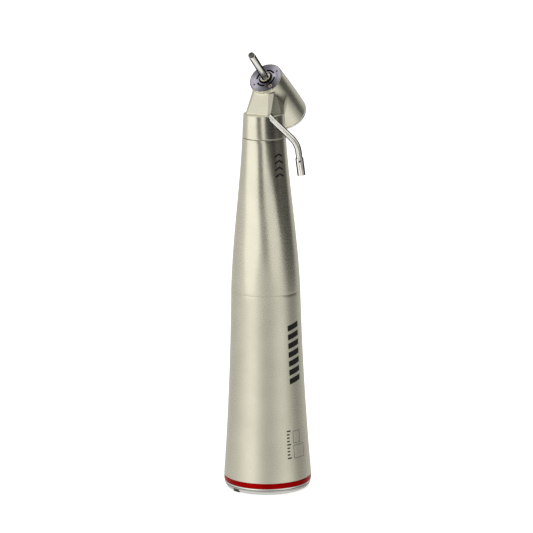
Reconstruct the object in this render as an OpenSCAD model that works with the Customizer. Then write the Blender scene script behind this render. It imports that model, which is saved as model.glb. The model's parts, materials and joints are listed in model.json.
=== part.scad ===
// Contra angle dental handpiece, 1:4.2 speed increasing, with a surgical head set at 45 degrees.
// Z runs up the handle from the motor end. The head leans back, so the bur points up and to -Y.

/* [Handle] */
// Radius of the colour band, the widest point of the handle
band_r = 10.0; // [9.8:0.1:10.4]
// Height at which the rear sleeve ends and the front sleeve starts
sleeve_seam_z = 46.0; // [44:0.5:47]
// Radius of the handle at that seam
sleeve_seam_r = 7.9; // [7.8:0.05:8.2]
// Height at which the front sleeve meets the head's collar
collar_z = 81.3; // [81:0.1:82]
// Radius of the handle at the collar seam
collar_r = 4.95; // [4.9:0.05:5.2]

/* [Motor coupling] */
// Radius of the bore that slides over the motor's nose
motor_bore_r = 6.8; // [6.6:0.05:6.9]
// Depth of the bore's first stretch, up to the latch groove
motor_bore_len = 10.0; // [9:0.5:10.5]

/* [Head] */
// Angle of the head's axis from the handle's axis, in degrees
head_tilt = 45; // [44:0.5:46]
// Height of the centre of the head's face
head_face_z = 94.6; // [94.4:0.1:94.8]
// Radius of the head at its face
head_face_r = 3.9; // [3.9:0.05:4.0]
// Radius of the head at its back
head_back_r = 4.55; // [4.5:0.05:4.7]
// Length of the head from the face to the rim of the back cap
head_len = 14.2; // [14.2:0.1:14.6]

/* [Bur] */
// Radius of the friction grip shank
shank_r = 0.8; // [0.78:0.01:0.8]
// Length of the bur that stands out of the face
bur_reach = 8.8; // [6:0.2:12]

/* [Irrigation tube] */
// Radius of the coolant tube
tube_r = 0.74; // [0.6:0.02:0.74]
// Radius of the ferrule that takes the hose
ferrule_r = 0.92; // [0.92:0.02:1]

/* [Gears] */
// Distance of the front shaft from the handle's axis, towards +Y
shaft_offset = 2.4; // [2.4:0.05:2.45]
// Teeth inside the ring gear
ring_teeth = 30; // [30]
// Teeth on the step-up pinion
pinion_teeth = 10; // [10]
// Teeth on the front bevel gear
bevel_teeth = 14; // [14]
// Teeth on the rotor's bevel pinion
rotor_teeth = 10; // [10]

/* [Hidden] */
$fn = 64;
eps = 0.01;

// Heights of the base ring and the colour band.
base_top = 1.5;
band_top = 2.7;
hub_r = 9.0;
hub_top = 3.4;

// Coupling tube: the bore, the latch groove, and the step for the nose's tip.
frame_r = 7.5;
latch_r = 7.15;
latch_w = 1.0;
tip_r = 5.6;
bore_top = 14;
tip_top = 24;
web_top = 30.5;
spigot_r = 7.05;
spigot_in_r = 6.0;
spigot_top = 50;
shaft_clear_r = 2.5;
sleeve_in_r = 7.1;

// O-rings that grip the sleeves: heights, their own thickness and path, and the grooves.
o_ring_z = [41.7, 47.9];
o_ring_r = 0.23;
o_ring_path_r = 6.84;
groove_r = 6.6;
groove_w = 0.6;

// Softened edges at the seams between the sleeves, and the bore inside them.
seam_edge = 0.15;
cone_foot_z = 7.4;
cone_top_z = 26.5;
nose_in_r = 4.2;

// Input shaft on the handle's axis, on two equal bearings.
input_r = 1.2;
input_bearing = [1.2, 1.7, 2.5, 3.0, 2.2];
input_bearing_z = [26.5, 38.4];
input_bearing_balls_n = 8;

// Ring gear cup and the pinion that runs inside it.
ring_module = 2 * shaft_offset / (ring_teeth - pinion_teeth);
ring_pitch_r = ring_module * ring_teeth / 2;
pinion_pitch_r = ring_module * pinion_teeth / 2;
cup_z = 41.6;
cup_floor = 1.0;
cup_top = 46.6;
cup_r = 4.5;
cavity_r = 4.9;

// Gear housing, its cover and the three screws that close it.
housing_z = 36;
housing_top = 47;
cover_top = 51;
screw_angles = [30, 150, 270];
screw_at_r = 5.45;
screw_r = 0.3;
screw_head_r = 0.5;
screw_head_z = 50.4;
screw_tip_z = 43;

// Drive dog that the motor turns: its radius, and the slot across its lower end.
dog_r = 2.0;
dog_z = [16, 20];
dog_slot = [1.0, 2.0];

// Front shaft, parallel to the handle's axis.
front_r = 1.0;
journal_r = 0.7;
shaft_bearing = [0.7, 0.95, 1.5, 1.75, 1.6];
shaft_bearing_z = [49.0, 79.2];
shaft_bearing_balls_n = 7;

// The bevel pair's shared apex lies where the front shaft's axis meets the head's axis.
face_y = 0.9;
apex_z = head_face_z + (face_y - shaft_offset) / tan(head_tilt);
apex_local = (face_y - shaft_offset) / sin(head_tilt);
bevel_cone = atan2(sin(head_tilt), rotor_teeth / bevel_teeth + cos(head_tilt));
rotor_cone = head_tilt - bevel_cone;
cone_out = 5.25;
cone_in = 4.2;

// Head bores, measured back from the face.
head_bearing = [1.35, 1.65, 2.1, 2.4, 1.9];
front_bearing_z = -3.4;
rear_bearing_z = -10.8;
head_bearing_balls_n = 9;
plate_r = 3.73;
plate_core_r = 3.1;
plate_lip = 0.45;
plate_depth = 1.0;
cap_core_r = 3.5;
cap_flange_z = -13.2;
cap_core_z = -8.7;
cap_opening_r = 2.8;

// Push button: its face, the flange that keeps it in, its stem, and the spring behind it.
button_r = 3.04;
button_face_r = 2.72;
button_face_z = -14.5;
button_flange_z = -13.75;
button_seat_z = -13.2;
stem_r = 0.9;
stem_z = -11.5;
spring_seat_z = -12.2;
spring_r = [1.3, 1.9];
spring_part_h = 0.3;

// Coolant jet and spanner holes in the face.
jet_at = [2.87 * cos(45), -2.87 * sin(45)];
spanner_at_r = 2.62;

// Route of the coolant tube: its root at the neck, the bend's corner, and its lower end.
tube_root = [2.7, -2.0, 86.4];
tube_corner = [8.9, -0.3, 80.5];
tube_end = [9.65, 0.1, 73.3];
ferrule_len = 4.0;
tube_bend_r = 5;
tube_bend_swell = 0.004;
tube_lap = 0.05;
tube_socket = 0.3;
tube_collar_r = 0.84;
tube_collar_out = 1.6;
leg_up = (tube_root - tube_corner) / norm(tube_root - tube_corner);
leg_down = (tube_end - tube_corner) / norm(tube_end - tube_corner);

// Neck: a flat front that narrows upwards, with a flat corner on each side.
neck_foot_z = 86.7;
neck_top_z = 92.0;
neck_front_x = 3.1;
neck_side_x = 4.35;
neck_side_y = 0.5;
neck_top_x = 2.6;
neck_top_side_x = 2.85;
neck_foot_y = -3.05;
neck_top_y = -0.95;
collar_top_r = 4.6;

steel = [0.74, 0.75, 0.76];
satin = [0.78, 0.77, 0.70];
brass = [0.72, 0.60, 0.34];

// ---------- shared shapes ----------

// Outer radius of the rear sleeve at height z: a shallow hollow curve.
function rear_r(z) = let (u = sleeve_seam_z - z) sleeve_seam_r + 0.0195 * u + 0.00069 * u * u;

// Outer radius of the front sleeve at height z: a cubic between the two seams.
function front_sleeve_r(z) =
    let (
        h = collar_z - sleeve_seam_z,
        t = (z - sleeve_seam_z) / h,
        slope_rear = -0.035,
        slope_front = -0.0565
    )
    sleeve_seam_r * (2 * t * t * t - 3 * t * t + 1)
    + slope_rear * h * (t * t * t - 2 * t * t + t)
    + collar_r * (3 * t * t - 2 * t * t * t)
    + slope_front * h * (t * t * t - t * t);

// A round tube or disc from z0 to z1.
module ring(r_in, r_out, z0, z1) {
    translate([0, 0, z0])
    difference() {
        cylinder(r = r_out, h = z1 - z0);
        translate([0, 0, -1]) cylinder(r = r_in, h = z1 - z0 + 2);
    }
}

module disc(r, z0, z1) {
    translate([0, 0, z0]) cylinder(r = r, h = z1 - z0);
}

// A round rod between two points, longer by extra at each end.
module rod(p, q, r, extra = 0) {
    v = q - p;
    translate(p)
    rotate([0, acos(v[2] / norm(v)), atan2(v[1], v[0])])
    translate([0, 0, -extra]) cylinder(r = r, h = norm(v) + 2 * extra);
}

// Places its children in the head's frame: origin at the face, +Z out along the bur.
module in_head() {
    translate([0, face_y, head_face_z]) rotate([head_tilt, 0, 0]) children();
}

// Places its children on the front shaft's axis.
module on_shaft() {
    translate([0, shaft_offset, 0]) children();
}

// Ball bearing pieces; b holds the inner ring's radii, the outer ring's radii and the width.
module bearing_outer(b, z) {
    difference() {
        ring(b[2], b[3], z, z + b[4]);
        translate([0, 0, z + b[4] / 2])
        rotate_extrude() translate([(b[1] + b[2]) / 2, 0]) circle(r = ball_r(b) + 0.02, $fn = 32);
    }
}

module bearing_inner(b, z) {
    difference() {
        ring(b[0], b[1], z, z + b[4]);
        translate([0, 0, z + b[4] / 2])
        rotate_extrude() translate([(b[1] + b[2]) / 2, 0]) circle(r = ball_r(b) + 0.02, $fn = 32);
    }
}

module bearing_balls(b, z, count) {
    for (i = [0 : count - 1])
        rotate([0, 0, 360 * i / count])
        translate([(b[1] + b[2]) / 2, 0, z + b[4] / 2]) sphere(r = ball_r(b), $fn = 32);
}

function ball_r(b) = (b[2] - b[1]) / 2 + 0.06;

// Outline of a gear: each tooth is a straight-flanked trapezoid with the given half-angles in degrees.
function gear_points(teeth, r_root, r_pitch, r_tip, half_root, half_pitch, half_tip) =
    [for (i = [0 : teeth - 1])
        for (s = [
            [r_root, -half_root], [r_pitch, -half_pitch], [r_tip, -half_tip],
            [r_tip, half_tip], [r_pitch, half_pitch], [r_root, half_root]
        ])
        let (a = 360 * i / teeth + s[1]) s[0] * [cos(a), sin(a)]
    ];

// ---------- handle ----------

module base_ring() {
    color(steel)
    difference() {
        rotate_extrude($fn = 128)
        polygon([
            [frame_r, 0], [9.15, 0], [9.45, 0.15], [9.9, 0.95], [9.9, base_top],
            [hub_r, base_top], [hub_r, hub_top], [frame_r, hub_top]
        ]);
        rotate([0, 0, -107]) translate([8.3, -0.65, -1]) cube([2, 1.3, 1.5]);
    }
}

module colour_band() {
    color([0.72, 0.02, 0.06])
    rotate_extrude($fn = 128)
    polygon([
        [hub_r, base_top], [band_r - 0.08, base_top], [band_r, base_top + 0.08],
        [band_r, band_top - 0.08], [band_r - 0.08, band_top], [hub_r, band_top]
    ]);
}

module coupling_tube() {
    color(steel)
    difference() {
        union() {
            disc(frame_r, 0, web_top);
            disc(spigot_r, web_top - 1, spigot_top);
        }
        disc(motor_bore_r, -1, bore_top);
        disc(latch_r, motor_bore_len, motor_bore_len + latch_w);
        disc(tip_r, bore_top - 1, tip_top);
        disc(shaft_clear_r, tip_top - 1, web_top + 1);
        disc(input_bearing[3], input_bearing_z[0], web_top + 1);
        disc(spigot_in_r, web_top, spigot_top + 1);
        for (z = o_ring_z) ring(groove_r, frame_r, z - groove_w / 2, z + groove_w / 2);
    }
}

module rear_sleeve() {
    rows = 9;
    run = sleeve_seam_z - band_top - 2 * seam_edge;
    zs = [for (i = [0 : rows]) band_top + seam_edge + i * run / rows];
    color(satin)
    rotate_extrude($fn = 128)
    polygon(concat(
        [[hub_r, band_top], [rear_r(band_top) - 0.05 - seam_edge, band_top]],
        [for (z = zs) [rear_r(z) - 0.05, z]],
        [[sleeve_seam_r - seam_edge, sleeve_seam_z], [sleeve_in_r, sleeve_seam_z]],
        [[sleeve_in_r, 38], [frame_r, web_top], [frame_r + 0.05, cone_top_z], [hub_r, cone_foot_z]]
    ));
}

module front_sleeve() {
    rows = 12;
    run = collar_z - sleeve_seam_z - 2 * seam_edge;
    zs = [for (i = [0 : rows]) sleeve_seam_z + seam_edge + i * run / rows];
    color(satin)
    rotate_extrude($fn = 128)
    polygon(concat(
        [[sleeve_in_r, sleeve_seam_z], [sleeve_seam_r - seam_edge, sleeve_seam_z]],
        [for (z = zs) [front_sleeve_r(z), z]],
        [[collar_r - seam_edge, collar_z], [nose_in_r, collar_z], [nose_in_r, 76]],
        [[6.2, 60], [sleeve_in_r, 52]]
    ));
}

module sleeve_o_rings() {
    color([0.08, 0.08, 0.09])
    for (z = o_ring_z)
        translate([0, 0, z])
        rotate_extrude($fn = 96) translate([o_ring_path_r, 0]) circle(r = o_ring_r, $fn = 24);
}

// ---------- step-up gear stage ----------

// Places its children on the axis of each cover screw.
module at_screws() {
    for (a = screw_angles) rotate([0, 0, a]) translate([screw_at_r, 0, 0]) children();
}

module gear_housing() {
    color(steel)
    difference() {
        disc(spigot_in_r, housing_z, housing_top);
        disc(1.9, housing_z - 1, input_bearing_z[1] + 1);
        disc(input_bearing[3], input_bearing_z[1], cup_z);
        disc(cavity_r, cup_z - 0.4, housing_top + 1);
        at_screws() disc(screw_r, screw_tip_z - 1, housing_top + 1);
    }
}

module gear_housing_cover() {
    color(steel)
    difference() {
        disc(spigot_in_r, housing_top, cover_top);
        on_shaft() disc(1.3, housing_top - 1, cover_top + 1);
        on_shaft() disc(shaft_bearing[3], shaft_bearing_z[0], cover_top + 1);
        at_screws() disc(screw_r, housing_top - 1, cover_top + 1);
        at_screws() disc(screw_head_r, screw_head_z, cover_top + 1);
    }
}

module cover_screws() {
    color([0.55, 0.56, 0.58])
    at_screws()
        difference() {
            union() {
                disc(screw_r, screw_tip_z, screw_head_z + 0.1);
                disc(screw_head_r, screw_head_z, cover_top);
            }
            translate([-0.6, -0.07, cover_top - 0.25]) cube([1.2, 0.14, 1]);
        }
}

module drive_dog() {
    color([0.62, 0.64, 0.67])
    difference() {
        ring(input_r, dog_r, dog_z[0], dog_z[1]);
        translate([-dog_r - 1, -dog_slot[0] / 2, dog_z[0] - 1])
        cube([2 * dog_r + 2, dog_slot[0], dog_slot[1] + 1]);
    }
}

module input_shaft() {
    color([0.62, 0.64, 0.67])
    union() {
        disc(input_r, dog_z[0] + dog_slot[1] + 0.2, cup_z + cup_floor);
        disc(1.5, 23.0, input_bearing_z[0] - 0.1);
    }
}

module ring_gear() {
    color(brass)
    difference() {
        disc(cup_r, cup_z, cup_top);
        disc(input_r, cup_z - 1, cup_z + cup_floor + 0.5);
        translate([0, 0, cup_z + cup_floor])
        linear_extrude(cup_top - cup_z)
        polygon(gear_points(
            ring_teeth,
            ring_pitch_r - 0.75 * ring_module, ring_pitch_r, ring_pitch_r + 1.0 * ring_module,
            180 / ring_teeth * 0.88, 180 / ring_teeth * 0.60, 180 / ring_teeth * 0.30
        ));
    }
}

module input_bearing_spacer() {
    color(steel)
    ring(input_r, 1.6, input_bearing_z[0] + input_bearing[4], input_bearing_z[1]);
}

module input_bearing_outer_rings() {
    color([0.7, 0.71, 0.74])
    for (z = input_bearing_z) bearing_outer(input_bearing, z);
}

module input_bearing_balls() {
    color([0.85, 0.86, 0.88])
    for (z = input_bearing_z) bearing_balls(input_bearing, z, input_bearing_balls_n);
}

module input_bearing_inner_rings() {
    color([0.7, 0.71, 0.74])
    for (z = input_bearing_z) bearing_inner(input_bearing, z);
}

// ---------- front shaft ----------

module front_shaft() {
    color([0.62, 0.64, 0.67])
    on_shaft()
    union() {
        disc(journal_r, cup_z + cup_floor + 0.3, apex_z - cone_in * cos(bevel_cone));
        disc(front_r, shaft_bearing_z[0] + shaft_bearing[4], shaft_bearing_z[1]);
        disc(0.9, cup_top + 0.4, shaft_bearing_z[0]);
    }
}

module step_up_pinion() {
    color(brass)
    on_shaft()
    difference() {
        translate([0, 0, cup_z + cup_floor + 0.3])
        linear_extrude(cup_top - cup_z - cup_floor - 0.3)
        polygon(gear_points(
            pinion_teeth,
            pinion_pitch_r - 0.95 * ring_module, pinion_pitch_r, pinion_pitch_r + 0.7 * ring_module,
            180 / pinion_teeth * 0.55, 180 / pinion_teeth * 0.40, 180 / pinion_teeth * 0.16
        ));
        disc(journal_r, cup_z, cup_top + 1);
    }
}

// A straight bevel gear on its own Z axis, with its apex at the origin and its back at -Z.
module bevel(teeth, cone, add, ded, fill, bore_r, turn) {
    r = cone_out * sin(cone);
    back = -cone_out * cos(cone);
    difference() {
        translate([0, 0, back])
        rotate([0, 0, turn])
        linear_extrude((cone_out - cone_in) * cos(cone), scale = cone_in / cone_out)
        polygon(gear_points(
            teeth,
            r - ded, r, r + add,
            180 / teeth * fill * 1.35, 180 / teeth * fill, 180 / teeth * fill * 0.5
        ));
        translate([0, 0, back - 1]) cylinder(r = bore_r, h = cone_out);
    }
}

module front_bevel_gear() {
    color(brass)
    translate([0, shaft_offset, apex_z])
    union() {
        bevel(bevel_teeth, bevel_cone, 0.17, 0.30, 0.42, journal_r, 90);
        translate([0, 0, -cone_out * cos(bevel_cone) - 0.8])
        ring(journal_r, 1.4, 0, 0.8);
    }
}

module shaft_bearing_outer_rings() {
    color([0.7, 0.71, 0.74])
    on_shaft() for (z = shaft_bearing_z) bearing_outer(shaft_bearing, z);
}

module shaft_bearing_balls() {
    color([0.85, 0.86, 0.88])
    on_shaft() for (z = shaft_bearing_z) bearing_balls(shaft_bearing, z, shaft_bearing_balls_n);
}

module shaft_bearing_inner_rings() {
    color([0.7, 0.71, 0.74])
    on_shaft() for (z = shaft_bearing_z) bearing_inner(shaft_bearing, z);
}

// ---------- head ----------

// Cross-section of the neck: round at the back, flat at the front, the sides and the front corners.
module neck_slice(front_x, front_y, leg, side_x) {
    intersection() {
        circle(r = collar_top_r - 0.06, $fn = 96);
        polygon([
            [leg - front_x, front_y], [front_x - leg, front_y], [front_x, front_y + leg],
            [side_x, neck_side_y], [side_x, 6], [-side_x, 6],
            [-side_x, neck_side_y], [-front_x, front_y + leg]
        ]);
    }
}

module neck() {
    hull() {
        translate([0, 0, neck_foot_z - 0.2])
        linear_extrude(eps)
        neck_slice(neck_front_x, neck_foot_y, 0.33, neck_side_x);
        translate([0, 0, neck_top_z])
        linear_extrude(eps)
        neck_slice(neck_top_x, neck_top_y, 0.78, neck_top_side_x);
    }
}

module collar() {
    rotate_extrude($fn = 128)
    polygon([
        [0, 76.6], [4.0, 76.6], [4.2, 76.8], [4.2, collar_z], [collar_r - 0.15, collar_z],
        [collar_r, collar_z + 0.15], [4.84, 84.2], [collar_top_r + 0.05, neck_foot_z - 0.2],
        [collar_top_r - 0.1, neck_foot_z], [0, neck_foot_z]
    ]);
}

module head_barrel() {
    rotate_extrude($fn = 96)
    polygon([
        [0, 0], [head_face_r - 0.12, 0], [head_face_r, -0.12],
        [head_back_r - 0.08, -9], [head_back_r, cap_flange_z + 0.1],
        [head_back_r - 0.1, cap_flange_z], [0, cap_flange_z]
    ]);
}

module head_housing() {
    jet_back = [jet_at[0], jet_at[1], -plate_depth];
    color(satin)
    difference() {
        union() {
            collar();
            neck();
            in_head() head_barrel();
        }
        on_shaft() {
            disc(1.25, 76, 88);
            disc(shaft_bearing[3], 76, shaft_bearing_z[1] + shaft_bearing[4]);
            disc(2.7, 87.2, apex_z - cone_in * cos(bevel_cone) + 0.3);
        }
        in_head() {
            ring(0, plate_r + 0.02, -plate_lip, 1);
            disc(plate_core_r, -plate_depth, 1);
            disc(head_bearing[3], front_bearing_z, 0);
            disc(2.0, -9, 0);
            disc(2.6, -9, front_bearing_z - 0.5);
            disc(cap_core_r, cap_flange_z - 1, cap_core_z + 0.1);
            translate([jet_at[0], jet_at[1], -plate_depth]) cylinder(r = 0.47, h = 1, $fn = 32);
            rod(jet_back, [jet_at[0] + 0.2, jet_at[1] - 0.25, -4.2], 0.25, 0);
        }
        rod(tube_root + tube_socket * leg_up, tube_corner, tube_r);
        rod(tube_root + tube_socket * leg_up, tube_root - tube_collar_out * leg_up, tube_collar_r);
    }
}

module nozzle_plate() {
    color([0.72, 0.74, 0.80])
    in_head()
    difference() {
        union() {
            disc(plate_core_r, -plate_depth, 0);
            disc(plate_r, -plate_lip, 0.05);
        }
        disc(1.6, -2, 1);
        ring(1.95, 2.15, -0.12, 1);
        for (a = [0, 90, 180, 270])
            rotate([0, 0, a]) translate([2.05, 0, -0.25]) cylinder(r = 0.2, h = 1, $fn = 24);
        for (a = [45, 225])
            rotate([0, 0, a]) translate([spanner_at_r, 0, -0.6]) cylinder(r = 0.2, h = 1, $fn = 24);
        translate([jet_at[0], jet_at[1], -2]) cylinder(r = 0.45, h = 3, $fn = 32);
    }
}

module coolant_jet() {
    color([0.62, 0.64, 0.68])
    in_head()
    translate([jet_at[0], jet_at[1], 0])
    ring(0.2, 0.45, -plate_depth, -0.1, $fn = 32);
}

module dust_seal() {
    color([0.15, 0.15, 0.16])
    in_head() ring(1.5, 2.35, front_bearing_z + head_bearing[4] + 0.05, -plate_depth - 0.1);
}

// A bent rod along the tube's route: one straight leg, the bend, and the other straight leg.
// The bend is a hair thicker, and both legs reach a little way into it.
module tube_path(r, extra = 0) {
    bend = 180 - acos(leg_up * leg_down);
    trim = tube_bend_r * tan(bend / 2);
    centre = tube_corner + (leg_up + leg_down) / norm(leg_up + leg_down) * tube_bend_r / cos(bend / 2);
    x = (tube_corner + trim * leg_up - centre) / tube_bend_r;
    z = cross(x, -leg_up);
    translate(centre)
    rotate([atan2(-leg_up[2], z[2]), -asin(x[2]), atan2(x[1], x[0])])
    union() {
        rotate_extrude(angle = bend, $fn = 96) translate([tube_bend_r, 0]) circle(r = r + tube_bend_swell, $fn = 32);
        translate([tube_bend_r, tube_lap, 0])
        rotate([90, 0, 0])
        cylinder(r = r, h = norm(tube_root - tube_corner) - trim + tube_socket + extra + tube_lap, $fn = 32);
        rotate([0, 0, bend])
        translate([tube_bend_r, -tube_lap, 0])
        rotate([-90, 0, 0])
        cylinder(r = r, h = norm(tube_end - tube_corner) - trim + extra + tube_lap, $fn = 32);
    }
}

module irrigation_tube() {
    color(steel)
    difference() {
        tube_path(tube_r);
        tube_path(tube_r - 0.25, 1);
    }
}

module tube_collar() {
    color(steel)
    difference() {
        rod(tube_root + tube_socket * leg_up, tube_root - tube_collar_out * leg_up, tube_collar_r);
        rod(tube_root, tube_corner, tube_r, 2);
    }
}

module tube_ferrule() {
    hole_at = tube_end - leg_down * (ferrule_len - 0.7);
    color(steel)
    difference() {
        rod(tube_end - leg_down * ferrule_len, tube_end, ferrule_r);
        rod(tube_end - leg_down * (ferrule_len + 1), tube_end + leg_down, tube_r);
        rod(hole_at, hole_at + [0.6, -1.0, 0], 0.2);
    }
}

// ---------- rotor ----------

module head_bearing_outer_rings() {
    color([0.7, 0.71, 0.74])
    in_head() for (z = [front_bearing_z, rear_bearing_z]) bearing_outer(head_bearing, z);
}

module head_bearing_balls() {
    color([0.85, 0.86, 0.88])
    in_head()
    for (z = [front_bearing_z, rear_bearing_z]) bearing_balls(head_bearing, z, head_bearing_balls_n);
}

module head_bearing_inner_rings() {
    color([0.7, 0.71, 0.74])
    in_head() for (z = [front_bearing_z, rear_bearing_z]) bearing_inner(head_bearing, z);
}

module preload_washer() {
    color(steel)
    in_head() ring(1.85, 2.35, rear_bearing_z - 0.25, rear_bearing_z);
}

module chuck_spindle() {
    color(steel)
    in_head()
    difference() {
        union() {
            disc(head_bearing[0], -5.6, -1.2);
            disc(1.28, -1.3, 0.55);
            disc(1.1, -9, -5.5);
            disc(head_bearing[0], -10.7, -8.6);
        }
        disc(1.05, -5.2, 1);
        disc(0.82, -9.9, 1);
        disc(0.5, -11, 1);
    }
}

module rotor_pinion() {
    color(brass)
    in_head()
    translate([0, 0, apex_local])
    bevel(rotor_teeth, rotor_cone, 0.17, 0.30, 0.42, 1.1, -90 + 180 / rotor_teeth);
}

module collet() {
    color([0.66, 0.67, 0.70])
    in_head()
    difference() {
        ring(shank_r + 0.01, 1.05, -5.2, 0.35);
        for (a = [0, 120, 240]) rotate([0, 0, a]) translate([0, -0.08, -3.6]) cube([2, 0.16, 5]);
    }
}

module chuck_wedge() {
    color(steel)
    in_head() disc(0.5, -10.8, -10.0);
}

module bur() {
    color([0.80, 0.81, 0.83])
    in_head()
    union() {
        disc(shank_r, -9.6, bur_reach - 0.5);
        disc(0.6, bur_reach - 0.6, bur_reach);
    }
}

// ---------- back cap and push button ----------

module back_cap() {
    color([0.80, 0.79, 0.74])
    in_head()
    difference() {
        union() {
            rotate_extrude($fn = 96)
            polygon([
                [0, cap_flange_z], [head_back_r - 0.1, cap_flange_z], [head_back_r, cap_flange_z - 0.1],
                [head_back_r, -13.6], [head_back_r - 0.18, -13.95], [head_back_r - 0.6, -head_len],
                [0, -head_len]
            ]);
            disc(cap_core_r, cap_flange_z - 0.1, cap_core_z);
        }
        disc(head_bearing[3], rear_bearing_z - 0.25, cap_core_z + 1);
        disc(1.8, stem_z - 0.1, cap_core_z + 1);
        disc(stem_r + 0.1, button_seat_z, cap_core_z + 1);
        disc(button_r + 0.06, button_flange_z - 0.05, spring_seat_z);
        disc(cap_opening_r, button_face_z - 1, spring_seat_z);
    }
}

module push_button() {
    color([0.76, 0.75, 0.70])
    in_head()
    union() {
        disc(button_face_r, button_face_z, button_seat_z);
        disc(button_r, button_flange_z, button_seat_z);
        disc(stem_r, button_seat_z - 0.1, stem_z);
    }
}

module button_spring() {
    color([0.5, 0.52, 0.55])
    in_head()
    union() {
        ring(spring_r[0], spring_r[1], spring_seat_z - spring_part_h, spring_seat_z);
        ring(1.2, 1.5, button_seat_z + spring_part_h, spring_seat_z - spring_part_h + 0.1);
        ring(spring_r[0], spring_r[1], button_seat_z, button_seat_z + spring_part_h);
    }
}

base_ring();
colour_band();
coupling_tube();
rear_sleeve();
front_sleeve();
sleeve_o_rings();
gear_housing();
gear_housing_cover();
cover_screws();
drive_dog();
input_shaft();
ring_gear();
input_bearing_spacer();
input_bearing_outer_rings();
input_bearing_balls();
input_bearing_inner_rings();
front_shaft();
step_up_pinion();
front_bevel_gear();
shaft_bearing_outer_rings();
shaft_bearing_balls();
shaft_bearing_inner_rings();
head_housing();
nozzle_plate();
coolant_jet();
dust_seal();
irrigation_tube();
tube_collar();
tube_ferrule();
head_bearing_outer_rings();
head_bearing_balls();
head_bearing_inner_rings();
preload_washer();
chuck_spindle();
rotor_pinion();
collet();
chuck_wedge();
bur();
back_cap();
push_button();
button_spring();
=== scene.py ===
"""Looks of the contra angle handpiece: smooth shells, filleted head, fine fittings, materials and light."""
import json
import math

import bpy
import bmesh
import numpy as np
from mathutils import Matrix, Vector


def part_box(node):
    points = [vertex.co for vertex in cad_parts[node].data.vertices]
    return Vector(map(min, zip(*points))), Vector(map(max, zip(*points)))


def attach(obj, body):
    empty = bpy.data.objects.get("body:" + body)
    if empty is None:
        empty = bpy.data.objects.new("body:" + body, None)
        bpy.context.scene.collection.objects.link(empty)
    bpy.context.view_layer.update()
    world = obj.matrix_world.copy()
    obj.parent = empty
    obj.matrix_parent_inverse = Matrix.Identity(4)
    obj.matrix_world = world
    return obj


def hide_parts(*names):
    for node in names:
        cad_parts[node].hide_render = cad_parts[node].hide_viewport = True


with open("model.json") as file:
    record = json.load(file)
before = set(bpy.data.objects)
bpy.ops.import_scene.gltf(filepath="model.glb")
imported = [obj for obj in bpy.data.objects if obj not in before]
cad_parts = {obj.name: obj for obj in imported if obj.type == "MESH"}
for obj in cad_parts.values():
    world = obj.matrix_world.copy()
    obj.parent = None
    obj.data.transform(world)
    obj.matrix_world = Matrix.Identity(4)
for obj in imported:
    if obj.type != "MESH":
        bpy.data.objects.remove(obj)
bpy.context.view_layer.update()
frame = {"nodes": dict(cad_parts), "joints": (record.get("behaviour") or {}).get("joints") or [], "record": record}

MM = 0.001
BODY = "handle"

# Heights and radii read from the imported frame, in millimetres.
low = {n: np.array(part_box(n)[0]) / MM for n in frame["nodes"]}
high = {n: np.array(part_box(n)[1]) / MM for n in frame["nodes"]}
BASE_TOP = low["colour_band"][2]
BAND_TOP = high["colour_band"][2]
BAND_R = high["colour_band"][0]
SEAM_Z = high["rear_sleeve"][2]
COLLAR_Z = high["front_sleeve"][2]
SEAM_R = high["front_sleeve"][0]
COUPLING_R = high["coupling_tube"][0]

# Inner radius of the base ring and the band, and the top of the front sleeve, just under the collar.
BASE_INNER = 9.0
SLEEVE_TOP = COLLAR_Z - 0.07

# Head frame: origin at the face's centre, +Z out along the bur.
CHUCK = next(j for j in frame["joints"] if j["name"] == "chuck_spin")
HEAD_AXIS = Vector(CHUCK["axis"]).normalized()
TILT = math.acos(HEAD_AXIS.z)
FACE_Y = 0.9
FACE_Z = 94.6
HEAD = Matrix.Translation(Vector((0, FACE_Y, FACE_Z)) * MM) @ Matrix.Rotation(TILT, 4, "X")
FACE_R = 3.9
BACK_R = 4.55
BARREL_END = -13.2
CAP_END = -14.2
COLLAR_R = 4.95
COLLAR_TOP_R = 4.6
COLLAR_TOP_Z = 86.7
SPIGOT_R = 4.19
SPIGOT_Z = 76.6
PLATE_R = 3.73
SHANK_R = 0.8
BUR_REACH = 8.8

# The neck's flat front: how far it leans back over how much height, where it starts, and its widths.
NECK_LEAN = 2.1
NECK_RISE = 5.1
NECK_FRONT_Y = -3.05
NECK_SIDE_Y = 0.5
NECK_SIDE_X = 4.35
NECK_TOP_Z = 92.3

# The front shaft runs this far behind the handle's middle line.
SHAFT_Y = 2.4


# ---------- camera, light and floor ----------

VIEW_AZ = math.radians(31.08)
VIEW_DROP = math.radians(12.565)
VIEW_ROLL = math.radians(-0.606)
VIEW_YAW = math.radians(-0.016)
CAMERA_OUT = 0.8199
CAMERA_UP = 0.2340


def around(degrees, distance, height):
    """A point round the object, at an angle to the right of the camera as the object sees it."""
    a = VIEW_AZ + math.radians(degrees)
    return Vector((math.sin(a) * distance, -math.cos(a) * distance, height))


def make_camera():
    data = bpy.data.cameras.new("camera")
    data.lens = 249.44
    data.sensor_width = 36
    data.clip_start = 0.01
    camera = bpy.data.objects.new("camera", data)
    bpy.context.collection.objects.link(camera)
    turn = Matrix.Rotation(VIEW_AZ + VIEW_YAW, 4, "Z") @ Matrix.Rotation(math.pi / 2 - VIEW_DROP, 4, "X")
    place = Matrix.Translation(around(0, CAMERA_OUT, CAMERA_UP))
    camera.matrix_world = place @ turn @ Matrix.Rotation(VIEW_ROLL, 4, "Z")
    bpy.context.scene.camera = camera


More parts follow.
